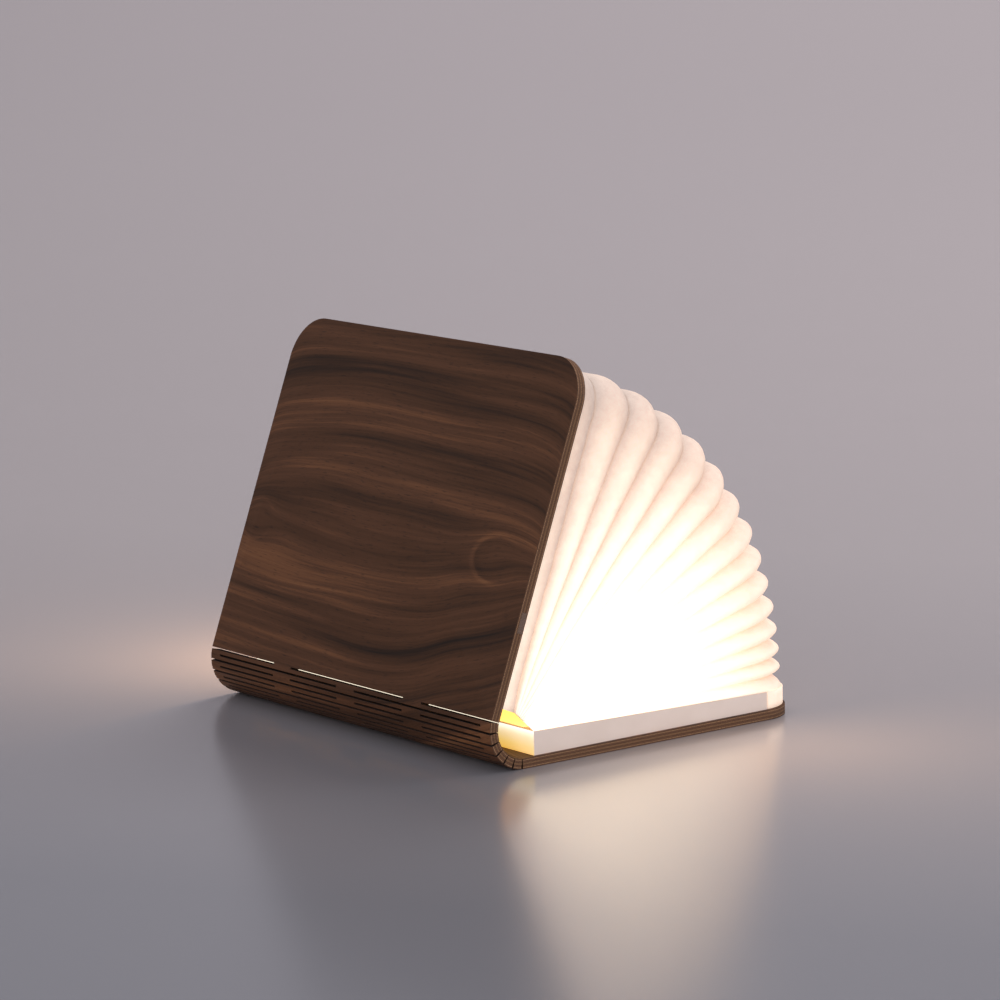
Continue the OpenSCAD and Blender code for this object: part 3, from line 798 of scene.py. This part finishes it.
def share_between(points, m):
    """How far points are turned from plane m towards plane m + 1, from 0 to 1."""
    (p0, n0), (p1, n1) = PLANES[m], PLANES[m + 1]
    grid = np.array([[n0[0], n0[2]], [n1[0], n1[2]]])
    apex = np.linalg.solve(grid, [n0 @ p0, n1 @ p1])
    away = points[:, [0, 2]] - apex
    start = math.atan2(-n0[0], n0[2])
    end = math.atan2(-n1[0], n1[2])
    angle = np.arctan2(away[:, 1], away[:, 0])
    return np.clip((angle - start) / (end - start), 0, 1)


# %% Cut the sheet into sectors
whole = BVHTree.FromObject(sheet, bpy.context.evaluated_depsgraph_get())
corner_normals = [Vector(v.normal) for v in sheet.data.vertices]
faces_of_sheet = [tuple(f.vertices) for f in sheet.data.polygons]


def smooth_normal(place):
    """The uncut sheet's shading normal next to a place."""
    spot, _, index, _ = whole.find_nearest(place)
    total = Vector((0, 0, 0))
    for v in faces_of_sheet[index]:
        gap = (sheet.data.vertices[v].co - spot).length
        total += corner_normals[v] / (gap + 1e-6)
    return total.normalized()


def cut_sector(m):
    bpy.ops.object.select_all(action="DESELECT")
    sheet.select_set(True)
    bpy.context.view_layer.objects.active = sheet
    bpy.ops.object.duplicate()
    piece = bpy.context.object
    piece.name = piece.data.name = f"pages_sector_{m + 1:02d}"
    bpy.ops.object.mode_set(mode="EDIT")
    for number, side in ((m, "clear_inner"), (m + 1, "clear_outer")):
        if (number, side) in ((0, "clear_inner"), (ROWS, "clear_outer")):
            continue
        point, normal = PLANES[number]
        bpy.ops.mesh.select_all(action="SELECT")
        bpy.ops.mesh.bisect(
            plane_co=in_frame(point), plane_no=normal, threshold=1e-7, **{side: True}
        )
    bpy.ops.object.mode_set(mode="OBJECT")
    mesh = piece.data
    mesh.normals_split_custom_set_from_vertices([smooth_normal(v.co) for v in mesh.vertices])
    share = share_between(places(mesh), m)
    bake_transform(piece, BODIES[m], BODIES[m + 1], start=(0, 0, 0), end=(0, 0, 1))
    mesh.attributes["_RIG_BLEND"].data.foreach_set("value", share.astype(np.float32))
    return piece


sectors = [cut_sector(m) for m in range(ROWS)]
bpy.data.objects.remove(sheet)
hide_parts("page_end_lower")
for k in range(1, PLEATS + 1):
    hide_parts(f"page_pleat_{k:02d}")
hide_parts("page_end_upper")
print("sectors:", [len(s.data.polygons) for s in sectors])

# %% [markdown]
# ## The flap
# At the fore-edge the sheet's lower end is turned down over the block and glued there, so the
# block's front is covered with lit paper. It is a narrow band round the block's plan, made
# from a plane whose points are set round the corners, and given the paper's thickness.

# %% The flap on the block's fore-edge
def flap_line(out):
    """Points in plan round the block's fore-edge, from the near corner to the far one."""
    r = CORNER + out
    x = BLOCK_FAR + out - r
    turn = [
        (x + r * math.cos(a), -HALF - out + r + r * math.sin(a))
        for a in np.linspace(-math.pi / 2, 0, 15)
    ]
    near = turn + [(BLOCK_FAR + out, y) for y in np.linspace(-HALF + CORNER, 0, 9)[1:]]
    return near + [(px, -py) for px, py in near[-2::-1]]


FLAP_OUT, FLAP_CLEAR, FLAP_GLOW = 0.55, 0.35, 0.5
around = flap_line(FLAP_OUT)
bpy.ops.object.select_all(action="DESELECT")
bpy.ops.mesh.primitive_grid_add(x_subdivisions=len(around) - 1, y_subdivisions=3, size=1)
flap = bpy.context.object
flap.name = flap.data.name = "pages_flap"
grid = np.array([v.co for v in flap.data.vertices])
column = np.rint((grid[:, 0] + 0.5) * (len(around) - 1)).astype(int)
up = grid[:, 1] + 0.5
spots = np.array([(*around[i], 0) for i in column])
top = block_top(spots[:, 0]) + FLAP_CLEAR
spots[:, 2] = (PLY + FLAP_CLEAR) * (1 - up) + top * up
put_places(flap.data, spots)
remember(flap.data, "sheet", spots * MM)
remember(flap.data, "glow", np.full(len(spots), FLAP_GLOW))
if sum(f.normal.y for f in flap.data.polygons if f.center.y < -0.09) > 0:
    flap.data.flip_normals()
bpy.ops.object.shade_smooth()
thick = flap.modifiers.new("paper thickness", "SOLIDIFY")
thick.thickness, thick.offset = 0.25 * MM, -1
bpy.ops.object.modifier_apply(modifier=thick.name)
finish_with(flap, paper)
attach(flap, "base")

# %% [markdown]
# ## Moulded and metal finishes
# The rest is seen little or not at all, but each piece still has its own material: fine matt
# ABS on the block, opal acrylic over the lights, nickel on magnets, zinc on screws, green
# solder mask on boards. One recipe covers them: a base colour that varies slightly, a grain
# of a given size in its bump, and the roughness and metallic of the real thing.

# %% Plain finishes
def plain(name, colour, other, grain_mm, roughness, metallic=0.0, bump=0.2, glow=None):
    made, tree = new_finish(name)
    place = add(tree, "TexCoord").outputs["Object"]
    cloud = add(tree, "TexNoise", {0: place, "Scale": 45, "Detail": 3})
    tint = add(tree, "ValToRGB", {0: cloud.outputs[0]}, stops=[(0.35, colour), (0.7, other)])
    grain = add(tree, "TexNoise", {0: place, "Scale": 1000 / grain_mm, "Detail": 2})
    lift = add(
        tree, "Bump", {"Height": grain.outputs[0], "Strength": bump, "Distance": 0.0001}
    )
    inputs = {
        "Base Color": tint.outputs[0], "Roughness": roughness, "Metallic": metallic,
        "Normal": lift.outputs[0],
    }
    if glow:
        inputs["Emission Color"] = linear(glow[0])
        inputs["Emission Strength"] = glow[1]
    coat = add(tree, "BsdfPrincipled", inputs)
    add(tree, "OutputMaterial", {0: coat.outputs[0]})
    return made


# the block's ABS carries a faint warm painted glow, which lightens its shaded sides as light from the strip
# inside would
abs_with_painted_glow = plain("abs_moulded_matt_painted_glow", "#ece0d8", "#f4e9e2", 0.5, 0.5, glow=("#ffdcc4", 0.09))
opal = plain("acrylic_extruded_opal", "#fff2d8", "#fffaf0", 1.0, 0.35, glow=("#ffc25c", 1.7))
diode = plain("diode_phosphor_in_resin", "#f2c14a", "#ffd770", 0.4, 0.3, glow=("#ffc060", 3.0))
white_board = plain("aluminium_board_white_mask", "#efece4", "#f8f6f0", 0.6, 0.4)
green_board = plain("glass_epoxy_green_mask", "#1f5a34", "#2a6b40", 0.5, 0.35)
zinc = plain("steel_zinc_plated", "#a9acae", "#c2c4c6", 0.4, 0.32, 1.0)
nickel = plain("magnet_nickel_plated", "#b9b5ab", "#cfcbc2", 0.6, 0.22, 1.0)
drawn = plain("steel_drawn_tinned", "#9fa1a3", "#b8babc", 0.3, 0.28, 1.0)
foil = plain("pouch_foil_pressed", "#b4b5b8", "#c9cacc", 2.0, 0.38, 0.9, 0.5)
black_wire = plain("silicone_insulation_black", "#1c1c1d", "#262627", 0.3, 0.5)
red_wire = plain("silicone_insulation_red", "#9a2a22", "#ab352b", 0.3, 0.5)
white_wire = plain("silicone_insulation_white", "#e2e0da", "#eeece6", 0.3, 0.5)
plug_wood = ply_edge(
    "walnut_plug_sanded",
    [(0.0, "#c9b8a8"), (0.16, "#8a7262"), (0.84, "#9c8574"), (0.92, "#c9b8a8")], 0.5,
)

# %% [markdown]
# ## The glowing end wall
# The block's wall towards the spine is thinner, and the strip of lights stands right behind
# its top, so it glows: white hot at the top, amber at the foot. The glow follows the height.

# %% Lit wall of the block
WALL_HUES = [(0.0, "#ffc02e"), (0.35, "#ffd468"), (0.75, "#ffe6b0"), (1.0, "#fff4dc")]
WALL_POWER, WALL_STRENGTH = [(0, 0.50), (0.4, 0.50), (0.75, 0.56), (1, 0.80)], 1.5


def lit_wall():
    made, tree = new_finish("abs_moulded_thin_lit")
    place = add(tree, "TexCoord").outputs["Object"]
    height = add(tree, "SeparateXYZ", {0: place}).outputs[2]
    up = add(tree, "MapRange", {0: height, 1: PLY * MM, 2: BLOCK_TOP * MM}).outputs[0]
    cloud = add(tree, "TexNoise", {0: place, "Scale": 60, "Detail": 2}).outputs[0]
    up = add(tree, "Math", {0: cloud, 1: 0.12, 2: up}, operation="MULTIPLY_ADD").outputs[0]
    hue = add(tree, "ValToRGB", {0: up}, stops=WALL_HUES).outputs[0]
    within = add(tree, "MapRange", {0: up, 1: 0, 2: 1}).outputs[0]
    power = add(tree, "FloatCurve", {1: within}, points=WALL_POWER).outputs[0]
    power = add(tree, "Math", {0: power, 1: WALL_STRENGTH}, operation="MULTIPLY").outputs[0]
    fine = add(tree, "TexNoise", {0: place, "Scale": 2000, "Detail": 2}).outputs[0]
    lift = add(tree, "Bump", {"Height": fine, "Strength": 0.2, "Distance": 0.0001}).outputs[0]
    tint = add(tree, "ValToRGB", {0: cloud}, stops=[(0.35, "#ece2dc"), (0.7, "#f4ece6")])
    wall = add(tree, "BsdfPrincipled", {
        "Base Color": tint.outputs[0], "Roughness": 0.5, "Normal": lift,
        "Emission Color": hue, "Emission Strength": power,
    })
    add(tree, "OutputMaterial", {0: wall.outputs[0]})
    return made


abs_lit = lit_wall()

# %% Dress the light block and what is in it
WEAR = {
    "block_shell": (abs_with_painted_glow, "white_abs", 0.3), "block_floor": (abs_with_painted_glow, "white_abs", 0.2),
    "floor_screws": (zinc, "zinc_screws", 0.05), "board_screws": (zinc, "zinc_screws", 0.05),
    "battery_cell": (foil, "battery_foil", 0), "battery_lead": (red_wire, "lead_insulation", 0),
    "main_board": (green_board, "circuit_board", 0.05),
    "sensor_board": (green_board, "circuit_board", 0.05),
    "charging_socket": (drawn, "socket_steel", 0.05),
    "sensor_lead": (black_wire, "lead_insulation", 0),
    "light_strip": (white_board, "white_aluminium", 0.05),
    "light_diodes": (diode, "diode_phosphor", 0.05),
    "light_lead": (white_wire, "lead_insulation", 0), "light_diffuser": (opal, "opal_acrylic", 0),
    "sensor_magnet": (nickel, "magnet_nickel", 0.1), "base_magnets": (nickel, "magnet_nickel", 0.2),
    "cover_magnets": (nickel, "magnet_nickel", 0.2),
}
for name, (finish, slot, rounding) in WEAR.items():
    finish_with(nodes[name], finish)
    if rounding:
        soften(nodes[name], rounding)
shell = nodes["block_shell"].data
shell.materials.append(abs_lit)
for face in shell.polygons:
    if face.normal.x < -0.9 and face.center.x < (BLOCK_X + 0.5 - COVER_W / 2) * MM:
        face.material_index = 1
plug = nodes["edge_plug"]
remember(plug.data, "sheet", to_flat(places(plug.data), ROWS) * MM)
finish_with(plug, plug_wood)
print("dressed", len(WEAR) + 1, "pieces of the block and the plug")

# %% [markdown]
# ## Floor, light and camera
# The lamp stands on a grey satin table that curves up into a backdrop, so no horizon shows.
# A large soft light hangs high behind the lamp, a weak one stands at its right and a third low
# in front. Two very small warm ones lay the lamp's own glow on the table, one on its far side
# and one on its near side. The camera stands where the photograph's did, found from the
# covers' corners.

# %% Floor and backdrop
bpy.ops.object.select_all(action="DESELECT")
bpy.ops.mesh.primitive_plane_add(size=1)
floor = bpy.context.object
floor.name = "table_top"
bpy.ops.object.mode_set(mode="EDIT")
bpy.ops.transform.resize(value=(9, 6, 1))
bpy.ops.mesh.select_all(action="DESELECT")
bpy.ops.object.mode_set(mode="OBJECT")
for e in floor.data.edges:
    e.select = all(floor.data.vertices[v].co.y > 2 for v in e.vertices)
bpy.ops.object.mode_set(mode="EDIT")
bpy.ops.mesh.select_mode(type="EDGE")
bpy.ops.mesh.extrude_region_move(TRANSFORM_OT_translate={"value": (0, 0, 4)})
bpy.ops.object.mode_set(mode="OBJECT")
floor.rotation_euler.z = math.radians(-37.2)
bpy.ops.object.transform_apply(location=False, rotation=True, scale=False)
sweep = floor.modifiers.new("sweep", "BEVEL")
sweep.width, sweep.segments = 2.2, 24
bpy.ops.object.modifier_apply(modifier=sweep.name)
bpy.ops.object.shade_smooth()


# painted light and shade: the table's grey is painted darker towards the front and left and lighter towards
# the back and right, for the light falling off across the table
BRIGHTER_TOWARDS = (0.834, 0.551, 0)
TABLE_PAINTED_SHADE_STOPS = [(0.08, "#7b7f87"), (0.28, "#98969a"), (0.45, "#a4a1a4"), (1.0, "#a6a2a6")]


def backdrop_shade_painted():
    made, tree = new_finish("table_satin_with_painted_shade")
    place = add(tree, "TexCoord").outputs["Object"]
    away = add(
        tree, "VectorMath", {0: place, 1: BRIGHTER_TOWARDS}, operation="DOT_PRODUCT"
    ).outputs["Value"]
    fine = add(tree, "TexNoise", {0: place, "Scale": 900, "Detail": 2}).outputs[0]
    away = add(tree, "Math", {0: fine, 1: 0.02, 2: away}, operation="MULTIPLY_ADD").outputs[0]
    share = add(tree, "MapRange", {0: away, 1: -0.5, 2: 1.5}).outputs[0]
    tint = add(tree, "ValToRGB", {0: share}, stops=TABLE_PAINTED_SHADE_STOPS).outputs[0]
    coat = add(tree, "BsdfPrincipled", {
        "Base Color": tint, "Roughness": 0.21, "Specular IOR Level": 1.0,
    })
    add(tree, "OutputMaterial", {0: coat.outputs[0]})
    return made


finish_with(floor, backdrop_shade_painted())


# %% Soft studio light
def soft_box(name, place, aim, size, power, colour):
    lamp = bpy.data.lights.new(name, "AREA")
    lamp.shape, lamp.size, lamp.energy = "DISK", size, power
    lamp.color = linear(colour)[:3]
    box = bpy.data.objects.new(name, lamp)
    bpy.context.scene.collection.objects.link(box)
    box.location = place
    box.rotation_euler = (Vector(aim) - Vector(place)).to_track_quat("-Z", "Y").to_euler()
    box.visible_glossy = False


soft_box("soft_box_behind", (1.7, 1.0, 2.2), (0, 0, 0), 1.1, 36, "#fff4ee")
soft_box("soft_box_right", (1.9, -0.9, 1.3), (0.3, -0.2, 0), 1.2, 9, "#fff2ea")
soft_box("glow_behind", (0.0, 0.13, 0.07), (-0.25, 0.5, 0), 0.06, 0.27, "#ffc894")
soft_box("glow_before", (0.03, -0.13, 0.09), (0.02, -0.42, 0), 0.06, 0.12, "#ffc894")
soft_box("soft_box_front", (-1.7, -1.9, 0.6), (0, 0, 0.1), 1.4, 17, "#fff4ec")

room = bpy.data.worlds.new("room")
bpy.context.scene.world = room
room.use_nodes = True
room.node_tree.nodes.clear()
air = add(room.node_tree, "Background", {0: linear("#cbc9cf"), 1: 0.97})
add(room.node_tree, "OutputWorld", {0: air.outputs[0]})

bpy.context.scene.view_settings.view_transform = "Standard"

# %% Camera
AZIMUTH, ELEVATION, ROLL = (math.radians(v) for v in (-37.203, 9.946, -1.314))
DISTANCE = 1990.326
aim = Vector((-44.505, -47.5, 106.309)) * MM
back = Vector((
    math.sin(AZIMUTH) * math.cos(ELEVATION),
    -math.cos(AZIMUTH) * math.cos(ELEVATION),
    math.sin(ELEVATION),
))
lens = bpy.data.cameras.new("camera")
lens.lens, lens.sensor_width = 161.31, 36.0
lens.clip_start, lens.clip_end = 0.05, 50
camera = bpy.data.objects.new("camera", lens)
bpy.context.scene.collection.objects.link(camera)
camera.rotation_mode = "QUATERNION"
camera.location = aim + back * DISTANCE * MM
level = (-back).to_track_quat("-Z", "Y").to_matrix()
camera.rotation_quaternion = (level @ Matrix.Rotation(ROLL, 3, "Z")).to_quaternion()
bpy.context.scene.camera = camera
